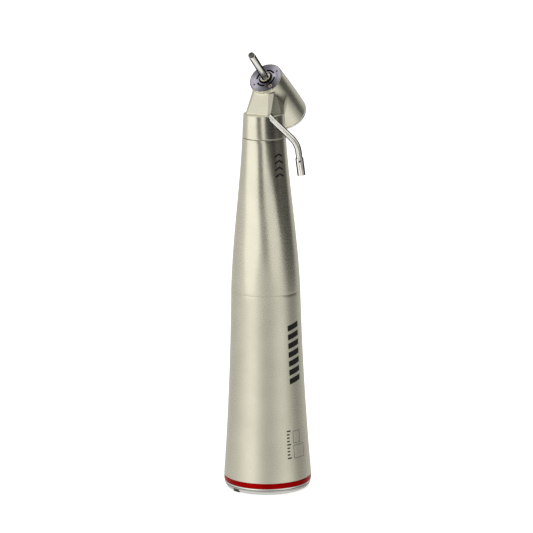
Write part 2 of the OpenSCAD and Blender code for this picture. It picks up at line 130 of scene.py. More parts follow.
# What the handle mirrors, all round it at hand height: degrees to the right of the camera, and brightness.
STUDIO = [
    (-180, 0.62), (-150, 0.66), (-128, 0.65), (-106, 0.71), (-86, 0.82), (-69, 1.00), (-52, 1.15),
    (-38, 1.12), (-25, 0.90), (-13, 0.70), (-2, 0.60), (10, 0.59), (22, 0.68), (36, 0.82), (50, 0.89),
    (60, 0.84), (72, 0.66), (86, 0.44), (100, 0.38), (116, 0.45), (140, 0.60),
]
OVERHEAD = 1.12
UNDERNEATH = 1.02
WARM = (1.0, 0.985, 0.95)

# Distances of the cards from the handle's middle line.
NEAR = 0.03
FAR = 0.22


def math_node(tree, operation, one, two=None):
    node = tree.nodes.new("ShaderNodeMath")
    node.operation = operation
    for socket, value in zip(node.inputs, (one, two)):
        if isinstance(value, (int, float)):
            socket.default_value = value
        elif value is not None:
            tree.links.new(value, socket)
    return node.outputs[0]


def make_world():
    """Soft studio surroundings: bands of light by direction, an even top and underside, white behind."""
    world = bpy.data.worlds.new("studio")
    world.use_nodes = True
    tree = world.node_tree
    coordinates = tree.nodes.new("ShaderNodeTexCoord")
    parts = tree.nodes.new("ShaderNodeSeparateXYZ")
    tree.links.new(coordinates.outputs["Generated"], parts.inputs["Vector"])
    x, y, z = parts.outputs
    angle = math_node(tree, "ARCTAN2", x, math_node(tree, "MULTIPLY", y, -1.0))
    turned = math_node(tree, "DIVIDE", math_node(tree, "SUBTRACT", angle, VIEW_AZ), 2 * math.pi)
    share = math_node(tree, "FRACT", math_node(tree, "ADD", turned, 1.5))
    bands = tree.nodes.new("ShaderNodeValToRGB")
    bands.color_ramp.interpolation = "EASE"
    stops = [(degrees / 360 + 0.5, level) for degrees, level in STUDIO] + [(1.0, STUDIO[0][1])]
    elements = bands.color_ramp.elements
    elements[1].position = 1.0
    while len(elements) < len(stops):
        elements.new(0.5)
    for element, (position, level) in zip(elements, stops):
        element.position = position
        element.color = (level, level, level, 1)
    tree.links.new(share, bands.inputs["Fac"])
    level = bands.outputs["Color"]
    for name, start, end, value in (("top", 0.60, 0.93, OVERHEAD), ("under", -0.42, -0.85, UNDERNEATH)):
        span = tree.nodes.new("ShaderNodeMapRange")
        span.name = name
        span.interpolation_type = "SMOOTHSTEP"
        span.inputs["From Min"].default_value = start
        span.inputs["From Max"].default_value = end
        tree.links.new(z, span.inputs["Value"])
        blend = tree.nodes.new("ShaderNodeMix")
        blend.data_type = "RGBA"
        blend.inputs["B"].default_value = (value, value, value, 1)
        tree.links.new(span.outputs["Result"], blend.inputs["Factor"])
        tree.links.new(level, blend.inputs["A"])
        level = blend.outputs["Result"]
    tint = tree.nodes.new("ShaderNodeMix")
    tint.data_type = "RGBA"
    tint.blend_type = "MULTIPLY"
    tint.inputs["Factor"].default_value = 1.0
    tint.inputs["B"].default_value = (*WARM, 1)
    tree.links.new(level, tint.inputs["A"])
    seen = tree.nodes.new("ShaderNodeLightPath")
    white = tree.nodes.new("ShaderNodeMix")
    white.data_type = "RGBA"
    white.inputs["B"].default_value = (1, 1, 1, 1)
    tree.links.new(seen.outputs["Is Camera Ray"], white.inputs["Factor"])
    tree.links.new(tint.outputs["Result"], white.inputs["A"])
    tree.links.new(white.outputs["Result"], tree.nodes["Background"].inputs["Color"])
    bpy.context.scene.world = world


def wall(name, rows, distance, level):
    """A curved card seen only in reflections; a row is a height and two edges in degrees from the camera."""
    columns = 24
    vertices = []
    for height, start, end in rows:
        degrees = [start + (end - start) * k / columns for k in range(columns + 1)]
        vertices += [around(angle, distance, height) for angle in degrees]
    step = columns + 1
    faces = [
        (i * step + k, i * step + k + 1, (i + 1) * step + k + 1, (i + 1) * step + k)
        for i in range(len(rows) - 1) for k in range(columns)
    ]
    mesh = bpy.data.meshes.new(name)
    mesh.from_pydata(vertices, [], faces)
    piece = bpy.data.objects.new(name, mesh)
    bpy.context.collection.objects.link(piece)
    piece.visible_camera = False
    piece.visible_shadow = False
    piece.visible_diffuse = False
    material = bpy.data.materials.new(name)
    material.use_nodes = True
    shader = material.node_tree.nodes["Principled BSDF"]
    shader.inputs["Base Color"].default_value = (0, 0, 0, 1)
    shader.inputs["Specular IOR Level"].default_value = 0.0
    shader.inputs["Emission Color"].default_value = (*WARM, 1)
    shader.inputs["Emission Strength"].default_value = level
    mesh.materials.append(material)


def make_floor():
    mesh = bpy.data.meshes.new("floor")
    half = 4.0
    corners = [(-half, -half, 0), (half, -half, 0), (half, half, 0), (-half, half, 0)]
    mesh.from_pydata(corners, [], [(0, 1, 2, 3)])
    floor = bpy.data.objects.new("floor", mesh)
    bpy.context.collection.objects.link(floor)
    floor.location.z = -0.0001
    floor.visible_glossy = False
    floor.visible_diffuse = False
    material = bpy.data.materials.new("pale_floor")
    material.use_nodes = True
    shader = material.node_tree.nodes["Principled BSDF"]
    shader.inputs["Base Color"].default_value = (0.9, 0.9, 0.9, 1)
    shader.inputs["Roughness"].default_value = 0.9
    shader.inputs["Specular IOR Level"].default_value = 0.0
    shader.inputs["Emission Color"].default_value = (1, 1, 1, 1)
    shader.inputs["Emission Strength"].default_value = 0.6
    mesh.materials.append(material)


def make_studio():
    bpy.context.scene.view_settings.view_transform = "Standard"
    make_world()
    make_floor()
    wall(
        "flag_near",
        [(0.0575, 53, 60), (0.0615, 49, 60), (0.065, 45, 60), (0.0685, 38, 58), (0.072, 29, 57),
         (0.074, 21, 57), (0.076, 12, 57), (0.078, 6, 57), (0.080, 5, 57), (0.086, 4, 57), (0.096, 2, 57)],
        NEAR, 0.025,
    )
    wall(
        "flag_far",
        [(0.014, 80, 120), (0.030, 69, 120), (0.040, 61, 121), (0.050, 56, 122), (0.088, 56, 127),
         (0.14, 62, 127)],
        FAR, 0.075,
    )
    wall(
        "flag_front",
        [(0.067, -23, -1), (0.069, -24, -3), (0.072, -26, -5), (0.076, -28, -7), (0.0785, -29, -8),
         (0.080, -35, -13), (0.086, -39, -17), (0.096, -41, -19)],
        NEAR, 0.12,
    )
    wall("flag_low", [(0.052, -4, 8), (0.0575, -11, 8), (0.062, -16, 7), (0.067, -22, 0)], NEAR, 0.34)
    wall(
        "panel_front",
        [(0.0735, -6, 22), (0.076, -7, 12), (0.0785, -8, 6), (0.080, -11, 5), (0.083, -13, 2),
         (0.096, -14, -1)],
        NEAR, 1.24,
    )
    wall(
        "panel_low",
        [(0.048, 20, 40), (0.0575, 12, 50), (0.062, 7, 47), (0.067, 0, 40), (0.0735, -6, 22)],
        NEAR, 0.99,
    )
    wall(
        "panel_left",
        [(0.042, -58, -40), (0.050, -68, -26), (0.056, -72, -18), (0.062, -74, -17), (0.066, -78, -22),
         (0.069, -84, -25), (0.076, -90, -29), (0.080, -92, -36), (0.096, -92, -42)],
        NEAR, 1.32,
    )


# ---------- materials ----------

def node_material(name, colour, metallic, roughness):
    """A material, its node tree and its shader."""
    material = bpy.data.materials.new(name)
    material.use_nodes = True
    tree = material.node_tree
    shader = tree.nodes["Principled BSDF"]
    shader.inputs["Base Color"].default_value = (*colour, 1)
    shader.inputs["Metallic"].default_value = metallic
    shader.inputs["Roughness"].default_value = roughness
    return material, tree, shader


def object_coordinates(tree):
    return tree.nodes.new("ShaderNodeTexCoord").outputs["Object"]


def noise(tree, vector, scale, detail=3.0, rough=0.55):
    node = tree.nodes.new("ShaderNodeTexNoise")
    node.inputs["Scale"].default_value = scale
    node.inputs["Detail"].default_value = detail
    node.inputs["Roughness"].default_value = rough
    tree.links.new(vector, node.inputs["Vector"])
    return node.outputs["Fac"]


def ramp(tree, factor, stops):
    """A colour ramp: stops are (position, colour) with three-number colours."""
    node = tree.nodes.new("ShaderNodeValToRGB")
    elements = node.color_ramp.elements
    for element, (position, colour) in zip(elements, stops[:2]):
        element.position = position
        element.color = (*colour, 1)
    for position, colour in stops[2:]:
        elements.new(position).color = (*colour, 1)
    tree.links.new(factor, node.inputs["Fac"])
    return node.outputs["Color"]


def spread(tree, factor, low_value, high_value):
    node = tree.nodes.new("ShaderNodeMapRange")
    node.inputs["From Min"].default_value = 0.3
    node.inputs["From Max"].default_value = 0.7
    node.inputs["To Min"].default_value = low_value
    node.inputs["To Max"].default_value = high_value
    tree.links.new(factor, node.inputs["Value"])
    return node.outputs["Result"]


def bump(tree, shader, height, strength, distance):
    node = tree.nodes.new("ShaderNodeBump")
    node.inputs["Strength"].default_value = strength
    node.inputs["Distance"].default_value = distance
    tree.links.new(height, node.inputs["Height"])
    tree.links.new(node.outputs["Normal"], shader.inputs["Normal"])


def tinted(colour, factor):
    return tuple(min(1.0, c * factor) for c in colour)


def painted_dark_edges(tree, shader, tone, depth, start=0.30, end=0.52):
    """Painted shade on round polished stock: the base colour is darkened where the surface turns away from the
    view, standing in for the dark of the room in its reflection.
    """
    facing = tree.nodes.new("ShaderNodeLayerWeight")
    facing.inputs["Blend"].default_value = 0.5
    shade = ramp(tree, facing.outputs["Facing"], [(start, (1, 1, 1)), (end, (depth, depth, depth))])
    mix = tree.nodes.new("ShaderNodeMix")
    mix.data_type = "RGBA"
    mix.blend_type = "MULTIPLY"
    mix.inputs["Factor"].default_value = 1.0
    tree.links.new(tone, mix.inputs["A"])
    tree.links.new(shade, mix.inputs["B"])
    tree.links.new(mix.outputs["Result"], shader.inputs["Base Color"])
    shader.inputs["Specular Tint"].default_value = (0.05, 0.05, 0.05, 1)


def satin_metal(name, colour, roughness):
    """Fine bead-blasted metal: a tight grain, with slow drifts of tone and gloss."""
    material, tree, shader = node_material(name, colour, 1.0, roughness)
    place = object_coordinates(tree)
    drift = noise(tree, place, 160.0, 2.0)
    tone = ramp(tree, drift, [(0.35, tinted(colour, 0.965)), (0.65, tinted(colour, 1.03))])
    tree.links.new(tone, shader.inputs["Base Color"])
    grains = noise(tree, place, 9000.0, 2.0, 0.6)
    tree.links.new(spread(tree, grains, roughness - 0.03, roughness + 0.04), shader.inputs["Roughness"])
    bump(tree, shader, grains, 0.25, 0.000004)
    return material


def centred(tree, centre):
    """Coordinates measured from a place in the object, with its own axes."""
    mapping = tree.nodes.new("ShaderNodeMapping")
    mapping.vector_type = "TEXTURE"
    if centre is not None:
        mapping.inputs["Location"].default_value = centre.to_translation()
        mapping.inputs["Rotation"].default_value = centre.to_euler()
    tree.links.new(object_coordinates(tree), mapping.inputs["Vector"])
    return mapping.outputs["Vector"]


def turned_metal(name, colour, roughness, rings=2600.0, centre=None, painted_edge_shade=None):
    """Lathe-turned or ground metal with fine marks round the axis given by centre."""
    material, tree, shader = node_material(name, colour, 1.0, roughness)
    place = centred(tree, centre)
    wave = tree.nodes.new("ShaderNodeTexWave")
    wave.wave_type = "RINGS"
    wave.rings_direction = "Z"
    wave.inputs["Scale"].default_value = rings
    wave.inputs["Distortion"].default_value = 1.5
    wave.inputs["Detail"].default_value = 2.0
    tree.links.new(place, wave.inputs["Vector"])
    speck = noise(tree, place, 2500.0, 3.0)
    tone = ramp(tree, speck, [(0.3, tinted(colour, 0.93)), (0.7, tinted(colour, 1.05))])
    tree.links.new(tone, shader.inputs["Base Color"])
    # Painted shade: when given, the base colour is darkened at the edges that turn away from the view.
    if painted_edge_shade is not None:
        painted_dark_edges(tree, shader, tone, painted_edge_shade)
    tree.links.new(
        spread(tree, wave.outputs["Fac"], roughness - 0.04, roughness + 0.06), shader.inputs["Roughness"]
    )
    bump(tree, shader, wave.outputs["Fac"], 0.15, 0.000003)
    return material


def face_metal_painted_sheen(name, colour, roughness):
    """A turned end face with painted reflection: two light and two dark sectors stand in for the highlight of its
    turning, with faint streaks.
    """
    material, tree, shader = node_material(name, colour, 1.0, roughness)
    place = centred(tree, HEAD)
    parts = tree.nodes.new("ShaderNodeSeparateXYZ")
    tree.links.new(place, parts.inputs["Vector"])
    angle = math_node(tree, "ARCTAN2", parts.outputs["Y"], parts.outputs["X"])
    twice = math_node(tree, "MULTIPLY", angle, 2.0)
    # Painted reflection: two bright and two dark sectors round the face's axis stand in for the fan-shaped
    # highlight of the turned face.
    sheen_swing = math_node(tree, "COSINE", math_node(tree, "ADD", twice, -1.33))
    painted_sheen_lobes = math_node(tree, "ADD", math_node(tree, "MULTIPLY", sheen_swing, 0.5), 0.5)
    streaks = noise(tree, place, 900.0, 3.0, 0.6)
    share = math_node(tree, "ADD", painted_sheen_lobes, math_node(tree, "MULTIPLY", streaks, 0.3))
    tone = ramp(tree, share, [(0.12, tinted(colour, 0.42)), (1.1, tinted(colour, 2.0)), (0.62, colour)])
    tree.links.new(tone, shader.inputs["Base Color"])
    tree.links.new(spread(tree, streaks, roughness - 0.04, roughness + 0.06), shader.inputs["Roughness"])
    bump(tree, shader, streaks, 0.1, 0.000004)
    return material


def polished_metal(name, colour, roughness, painted_edge_shade=None, metallic=1.0):
    """Polished wire, tube and balls, with faint smears that dull the gloss."""
    material, tree, shader = node_material(name, colour, metallic, roughness)
    place = object_coordinates(tree)
    smear = noise(tree, place, 700.0, 3.0)
    tree.links.new(spread(tree, smear, roughness - 0.03, roughness + 0.05), shader.inputs["Roughness"])
    tone = ramp(tree, noise(tree, place, 350.0), [(0.3, tinted(colour, 0.96)), (0.7, tinted(colour, 1.03))])
    tree.links.new(tone, shader.inputs["Base Color"])
    # Painted shade: when given, the base colour is darkened at the edges that turn away from the view.
    if painted_edge_shade is not None:
        painted_dark_edges(tree, shader, tone, painted_edge_shade, 0.16, 0.37)
        shader.inputs["Specular IOR Level"].default_value = 0.05
    bump(tree, shader, smear, 0.08, 0.000004)
    return material


def base_metal_painted_bands():
    """The base ring's turned metal with painted highlight and shade: bright under the band, dark above its lower
    bead and at its foot, as bands by height.
    """
    colour = (0.85, 0.85, 0.82)
    material, tree, shader = node_material("base_steel", colour, 1.0, 0.18)
    place = object_coordinates(tree)
    parts = tree.nodes.new("ShaderNodeSeparateXYZ")
    tree.links.new(place, parts.inputs["Vector"])
    wander = math_node(tree, "MULTIPLY", noise(tree, place, 600.0, 2.0), 0.06)
    rise = math_node(tree, "MULTIPLY", parts.outputs["Z"], 1 / (BASE_TOP * MM))
    share = math_node(tree, "ADD", rise, wander)
    # Painted highlight and shade: the ramp by height paints a bright line under the band and darker bands above
    # the lower bead and at the foot.
    tone = ramp(
        tree, share,
        [(0.06, tinted(colour, 0.30)), (0.92, tinted(colour, 1.15)), (0.30, tinted(colour, 0.80)),
         (0.46, tinted(colour, 0.75)), (0.62, tinted(colour, 0.38)), (0.78, tinted(colour, 0.50))],
    )
    tree.links.new(tone, shader.inputs["Base Color"])
    tree.links.new(spread(tree, noise(tree, place, 2500.0), 0.15, 0.22), shader.inputs["Roughness"])
    return material


def red_band_material():
    """Red anodised metal, with small drifts in depth of colour."""
    colour = (0.34, 0.0002, 0.0008)
    material, tree, shader = node_material("red_anodised", colour, 0.6, 0.26)
    place = object_coordinates(tree)
    depth = noise(tree, place, 400.0, 2.0)
    tone = ramp(tree, depth, [(0.3, tinted(colour, 0.88)), (0.7, tinted(colour, 1.12))])
    tree.links.new(tone, shader.inputs["Base Color"])
    tree.links.new(spread(tree, depth, 0.22, 0.30), shader.inputs["Roughness"])
    shader.inputs["Specular IOR Level"].default_value = 0.04
    bump(tree, shader, noise(tree, place, 5000.0), 0.06, 0.000003)
    return material


def dull_material(name, colour, roughness, grain, shine=0.5):
    """Rubber, plastic and ink: no metal, a fine uneven surface."""
    material, tree, shader = node_material(name, colour, 0.0, roughness)
    shader.inputs["Specular IOR Level"].default_value = shine
    place = object_coordinates(tree)
    speck = noise(tree, place, grain, 3.0)
    tone = ramp(tree, speck, [(0.3, tinted(colour, 0.8)), (0.7, tinted(colour, 1.25))])
    tree.links.new(tone, shader.inputs["Base Color"])
    tree.links.new(spread(tree, speck, roughness - 0.05, roughness + 0.08), shader.inputs["Roughness"])
    bump(tree, shader, speck, 0.2, 0.00001)
    return material


def make_materials():
    return {
        "satin_steel": satin_metal("satin_steel", (0.66, 0.645, 0.535), 0.275),
        "cap_satin": satin_metal("cap_satin", (0.74, 0.745, 0.735), 0.26),
        "bright_steel": turned_metal("bright_steel", (0.62, 0.62, 0.61), 0.22),
        # Painted highlight and shade in bands by height.
        "base_steel": base_metal_painted_bands(),
        # Painted reflection: light and dark sectors in the face's colour.
        "face_steel": face_metal_painted_sheen("face_steel", (0.205, 0.20, 0.235), 0.26),
        # Painted shade: the colour is darkened at edges that turn away from the view.
        "nose_steel": turned_metal("nose_steel", (0.60, 0.54, 0.44), 0.20, 3000.0, HEAD, 0.2),
        "dark_steel": turned_metal("dark_steel", (0.13, 0.13, 0.13), 0.30, 3000.0, HEAD),
        "red_anodised": red_band_material(),
        "bearing_steel": polished_metal("bearing_steel", (0.66, 0.67, 0.69), 0.10),
        # Painted shade: the colour is darkened at edges that turn away from the view.
        "tube_steel": polished_metal("tube_steel", (0.97, 0.955, 0.90), 0.12, 0.015, 0.6),
        # Painted shade: the colour is darkened at edges that turn away from the view.
        "bur_steel": turned_metal("bur_steel", (0.92, 0.92, 0.89), 0.18, 3000.0, HEAD, 0.02),
        "spring_steel": polished_metal("spring_steel", (0.45, 0.46, 0.48), 0.25),
        "gear_brass": turned_metal("gear_brass", (0.72, 0.55, 0.26), 0.25),
        "rubber_black": dull_material("rubber_black", (0.02, 0.02, 0.02), 0.6, 3000.0),
        "seal_plastic": dull_material("seal_plastic", (0.035, 0.035, 0.035), 0.5, 3000.0),
        "dark_mark": dull_material("dark_mark", (0.012, 0.012, 0.011), 0.50, 6000.0, 0.15),
        "faint_mark": dull_material("faint_mark", (0.10, 0.10, 0.09), 0.45, 6000.0),
    }


# ---------- mesh helpers ----------

def new_piece(name, mesh, material, body, replaced=(), sharp=35):
    """Links a mesh as a piece that rides on a body and may stand for CAD nodes."""
    piece = bpy.data.objects.new(name, mesh)
    bpy.context.collection.objects.link(piece)
    mesh.materials.clear()
    mesh.materials.append(MATERIALS[material])
    for polygon in mesh.polygons:
        polygon.use_smooth = True
    if sharp is not None:
        mesh.set_sharp_from_angle(angle=math.radians(sharp))
    if replaced:
        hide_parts(*replaced)
    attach(piece, body)
    return piece


def rounded(points, radii, steps=5):
    """Closed outline with an arc of the given radius at each corner; radius 0 keeps the corner."""
    result = []
    count = len(points)
    for i, radius in enumerate(radii):
        before, corner, after = (Vector(points[(i + k) % count]) for k in (-1, 0, 1))
        if radius <= 0:
            result.append(tuple(corner))
            continue
        a = (before - corner).normalized()
        b = (after - corner).normalized()
        half = a.angle(b) / 2
        trim = radius / math.tan(half)
        centre = corner + (a + b).normalized() * radius / math.sin(half)
        start = corner + a * trim - centre
        end = corner + b * trim - centre
        sweep = start.angle_signed(end)
        for k in range(steps + 1):
            turned = start.copy()
            turned.rotate(Matrix.Rotation(-sweep * k / steps, 2))
            result.append(tuple(centre + turned))
    return result


def lathe(name, outline, segments=192, place=None):
    """A closed ring or solid turned round Z from a closed outline of (radius, height) in mm."""
    angles = np.arange(segments) * 2 * math.pi / segments
    vertices = []
    index = []
    for r, z in outline:
        if r < 1e-6:
            index.append([len(vertices)])
            vertices.append((0, 0, z * MM))
        else:
            index.append(list(range(len(vertices), len(vertices) + segments)))
            vertices += [(r * MM * math.cos(a), r * MM * math.sin(a), z * MM) for a in angles]
    faces = []
    for one, two in zip(index, index[1:] + index[:1]):
        for k in range(segments):
            n = (k + 1) % segments
            if len(one) > 1 and len(two) > 1:
                faces.append((one[k], one[n], two[n], two[k]))
            elif len(one) > 1:
                faces.append((one[k], one[n], two[0]))
            elif len(two) > 1:
                faces.append((one[0], two[n], two[k]))
    mesh = bpy.data.meshes.new(name)
    mesh.from_pydata(vertices, [], faces)
    return settle(mesh, place)


def settle(mesh, place=None):
    """Places a mesh and points its faces outwards, turning them all if the volume comes out negative."""
    if place is not None:
        mesh.transform(place)
    work = bmesh.new()
    work.from_mesh(mesh)
    bmesh.ops.recalc_face_normals(work, faces=work.faces)
    if work.calc_volume(signed=True) < 0:
        bmesh.ops.reverse_faces(work, faces=work.faces)
    work.to_mesh(mesh)
    work.free()
    mesh.update()
    return mesh


def cut(mesh, cutters):
    """Takes the cutter meshes away from the mesh, exactly."""
    target = bpy.data.objects.new("cut_target", mesh)
    bpy.context.collection.objects.link(target)
    for cutter in cutters:
        tool = bpy.data.objects.new("cut_tool", cutter)
        bpy.context.collection.objects.link(tool)
        step = target.modifiers.new("cut", "BOOLEAN")
        step.operation = "DIFFERENCE"
        step.solver = "EXACT"
        step.object = tool
        bpy.context.view_layer.update()
        evaluated = target.evaluated_get(bpy.context.evaluated_depsgraph_get())
        result = bpy.data.meshes.new_from_object(evaluated)
        target.modifiers.clear()
        target.data = result
        bpy.data.objects.remove(tool)
    result = target.data
    bpy.data.objects.remove(target)
    return result


def drill(radius, z0, z1, at, place, segments):
    """A plain round cutter, in mm; at is its middle across the place's Z axis."""
    shift = Matrix.Translation(Vector((at[0], at[1], 0)) * MM)
    return lathe("drill", [(0, z0), (radius, z0), (radius, z1), (0, z1)], segments, place @ shift)


def turned_piece(name, outline, segments, place, material, body, replaced=()):
    """A piece that is turned from one outline."""
    new_piece(name, lathe(name, outline, segments, place), material, body, replaced)


def box(name, size, middle, place):
    """A plain box from its size and middle in mm, moved by place."""
    mesh = bpy.data.meshes.new(name)
    work = bmesh.new()
    bmesh.ops.create_cube(work, size=1.0)
    work.to_mesh(mesh)
    work.free()
    mesh.transform(Matrix.Diagonal((*(Vector(size) * MM), 1)))
    mesh.transform(place @ Matrix.Translation(Vector(middle) * MM))
    return mesh


# ---------- handle shells ----------

# The rear sleeve's widening below the seam, and how steeply the front sleeve narrows at its two ends.
REAR_FLARE = 0.0195
REAR_CURVE = 0.00069
SEAM_SLOPE = 0.035
COLLAR_SLOPE = 0.0565


def rear_radius(z):
    u = SEAM_Z - z
    return SEAM_R + REAR_FLARE * u + REAR_CURVE * u * u


def front_radius(z):
    h = COLLAR_Z - SEAM_Z
    t = (z - SEAM_Z) / h
    rear_part = SEAM_R * (2 * t**3 - 3 * t**2 + 1) - SEAM_SLOPE * h * (t**3 - 2 * t**2 + t)
    front_part = COLLAR_R * (3 * t**2 - 2 * t**3) - COLLAR_SLOPE * h * (t**3 - t**2)
    return rear_part + front_part


def shell_outline(radius_at, z0, z1, inner, edge):
    """Outline of a sleeve: its outer curve with softened ends, then its inner wall."""
    rows = 60
    outer = [(radius_at(z), z) for z in np.linspace(z0 + edge, z1 - edge, rows)]
    turns = np.linspace(0, math.pi / 2, 5)
    foot = [(radius_at(z0) - edge * (1 - math.sin(a)), z0 + edge * (1 - math.cos(a))) for a in turns[:-1]]
    top = [(radius_at(z1) - edge * (1 - math.cos(a)), z1 - edge * (1 - math.sin(a))) for a in turns[1:]]
    return foot + outer + top + inner


def make_sleeves():
    rear_inner = [(7.1, SEAM_Z), (7.1, 38), (7.5, 30.5), (7.55, 26.5), (BASE_INNER, 7.4)]
    rear_inner += [(BASE_INNER, BAND_TOP)]
    rear = shell_outline(rear_radius, BAND_TOP, SEAM_Z, rear_inner, 0.13)
    turned_piece("rear_sleeve_skin", rear, 192, None, "satin_steel", BODY, ["rear_sleeve"])
    front_inner = [(4.2, SLEEVE_TOP), (4.2, 76), (6.2, 60), (7.1, 52), (7.1, SEAM_Z)]
    front = shell_outline(front_radius, SEAM_Z, SLEEVE_TOP, front_inner, 0.06)
    turned_piece("front_sleeve_skin", front, 192, None, "satin_steel", BODY, ["front_sleeve"])


# The notch in the base ring and the dark piece inside it that paints the notch's shade: sizes and middles before
# the turn, in mm.
NOTCH_ANGLE = -108
NOTCH_SIZE = (1.2, 1.9, 0.9)
NOTCH_MIDDLE = (9.8, 0, 0.25)
NOTCH_SHADE_SIZE = (0.24, 1.86, 0.64)
NOTCH_SHADE_MIDDLE = (9.4, 0, 0.27)


def make_base():
    gap_z = BASE_TOP - 0.07
    inner_top = 3.4
    outline = rounded(
        [(COUPLING_R, 0), (9.15, 0), (9.45, 0.15), (9.68, 0.56), (9.62, 0.62), (9.72, 0.68), (9.88, 0.98),
         (9.80, 1.04), (9.9, 1.10), (9.9, gap_z), (9.55, gap_z), (9.55, BASE_TOP), (BASE_INNER, BASE_TOP),
         (BASE_INNER, inner_top), (COUPLING_R, inner_top)],
        [0, 0.1, 0.12, 0.02, 0.02, 0.02, 0.03, 0.02, 0.03, 0.06, 0.02, 0, 0, 0, 0],
        4,
    )
    ring = lathe("base_ring_skin", outline, 256)
    turn = Matrix.Rotation(math.radians(NOTCH_ANGLE), 4, "Z")
    notch = box("notch", NOTCH_SIZE, NOTCH_MIDDLE, turn)
    new_piece("base_ring_skin", cut(ring, [notch]), "base_steel", BODY, ["base_ring"])
    # Painted shade: a dark box inside the notch stands in for the shade there.
    shade_piece = box("notch_shade", NOTCH_SHADE_SIZE, NOTCH_SHADE_MIDDLE, turn)
    new_piece("notch_shade", shade_piece, "rubber_black", BODY)

    band = rounded(
        [(BASE_INNER, BASE_TOP), (BAND_R, BASE_TOP), (BAND_R, BAND_TOP), (BASE_INNER, BAND_TOP)],
        [0, 0.16, 0.16, 0],
    )
    turned_piece("colour_band_skin", band, 256, None, "red_anodised", BODY, ["colour_band"])


# ---------- head housing as one smooth field ----------

def round_union(a, b, radius):
    """Union of two fields with a fillet."""
    inner = np.hypot(np.maximum(radius - a, 0), np.maximum(radius - b, 0))
    return np.maximum(radius, np.minimum(a, b)) - inner


def round_join(a, b, radius):
    """Intersection of two fields with a rounded edge."""
    outer = np.hypot(np.maximum(a + radius, 0), np.maximum(b + radius, 0))
    return np.minimum(-radius, np.maximum(a, b)) + outer


def to_head(p):
    """Points of the handle's frame as seen from the head's frame."""
    c, s = math.cos(TILT), math.sin(TILT)
    y, z = p[:, 1] - FACE_Y, p[:, 2] - FACE_Z
    return np.stack([p[:, 0], c * y + s * z, -s * y + c * z], 1)


def cylinder_field(x, y, z, radius, z0, z1):
    return np.maximum(np.hypot(x, y) - radius, np.maximum(z0 - z, z - z1))


def barrel_field(q):
    """The head's barrel, a little wider at the back, with softened ends."""
    t = np.clip(q[:, 2] / BARREL_END, 0, 1)
    radius = FACE_R + (BACK_R - FACE_R) * (1 - (1 - t) ** 1.6)
    side = np.hypot(q[:, 0], q[:, 1]) - radius
    return round_join(round_join(side, q[:, 2], 0.12), BARREL_END - q[:, 2], 0.15)


def collar_field(p):
    """The collar, which narrows upwards, and the spigot under it that the front sleeve sits on."""
    t = np.clip((p[:, 2] - COLLAR_Z) / (COLLAR_TOP_Z - COLLAR_Z), 0, 1)
    radius = COLLAR_R + (COLLAR_TOP_R + 0.03 - COLLAR_R) * (0.7 * t + 0.3 * t * t)
    r = np.hypot(p[:, 0], p[:, 1])
    wide = round_join(round_join(r - radius, p[:, 2] - COLLAR_TOP_Z, 0.14), COLLAR_Z - p[:, 2], 0.13)
    spigot = np.maximum(r - SPIGOT_R, SPIGOT_Z - p[:, 2])
    return np.minimum(wide, np.maximum(spigot, p[:, 2] - COLLAR_TOP_Z + 1))


def neck_field(p):
    """The neck: a flat front that narrows upwards between two flat corners, round at the back."""
    x, y, z = p.T
    t = np.clip((z - COLLAR_TOP_Z) / NECK_RISE, 0, 1.2)
    front_y = NECK_FRONT_Y + NECK_LEAN * t
    slope = math.atan2(NECK_LEAN, NECK_RISE)
    front = (front_y - y) * math.cos(slope)
    share = np.clip((NECK_SIDE_Y - y) / (NECK_SIDE_Y - front_y), 0, 1.2)
    half = NECK_SIDE_X - 1.5 * t - (1.25 - t) * share
    sides = np.abs(x) - half
    leg = 0.33 + 0.45 * t
    corner = (sides + front_y - y + leg) * math.sqrt(0.5)
    shape = round_join(round_join(sides, front, 0.02), corner, 0.07)
    shape = np.maximum(shape, np.hypot(x, y) - (COLLAR_TOP_R - 0.06))
    shape = shape + 0.09 * np.clip((COLLAR_TOP_Z + 0.16 - z) / 0.08, 0, 1)
    return np.maximum(shape, np.maximum(COLLAR_TOP_Z - 0.6 - z, z - NECK_TOP_Z))


def bores_field(p, q):
    """Everything taken out of the housing: shaft, gear, bearing, plate and cap seats."""
    x, y, z = p.T
    y = y - SHAFT_Y
    shaft = cylinder_field(x, y, z, 1.25, 70, 88)
    seat = cylinder_field(x, y, z, 1.75, 70, 80.8)
    gears = cylinder_field(x, y, z, 2.7, 87.2, 89.64)
    u, v, w = q.T
    plate = np.minimum(
        cylinder_field(u, v, w, PLATE_R + 0.02, -0.45, 5), cylinder_field(u, v, w, 3.1, -1.0, 5)
    )
    rotor = np.minimum(cylinder_field(u, v, w, 2.4, -3.4, 0), cylinder_field(u, v, w, 2.0, -9, 0))
    rotor = np.minimum(rotor, cylinder_field(u, v, w, 2.6, -9, -3.9))
    cap = cylinder_field(u, v, w, 3.5, -16, -8.6)
    inside = np.minimum(np.minimum(shaft, seat), np.minimum(gears, plate))
    return np.minimum(inside, np.minimum(rotor, cap))


# The coolant tube: where it leaves the collar, where its two straight legs would meet, and where it ends.
TUBE_ROOT = Vector((2.97, -2.45, 86.4))
TUBE_CORNER = Vector((8.9, -0.3, 80.5))
TUBE_END = Vector((9.65, 0.1, 73.3))
TUBE_R = 0.74
TUBE_BEND = 5.0
TUBE_SOCKET = 0.3
TUBE_WALL = 0.25
SPRAY_HOLE_R = 0.24
FERRULE_LEN = 4.0
FERRULE_R = 0.92
UP_LEG = (TUBE_ROOT - TUBE_CORNER).normalized()
DOWN_LEG = (TUBE_END - TUBE_CORNER).normalized()


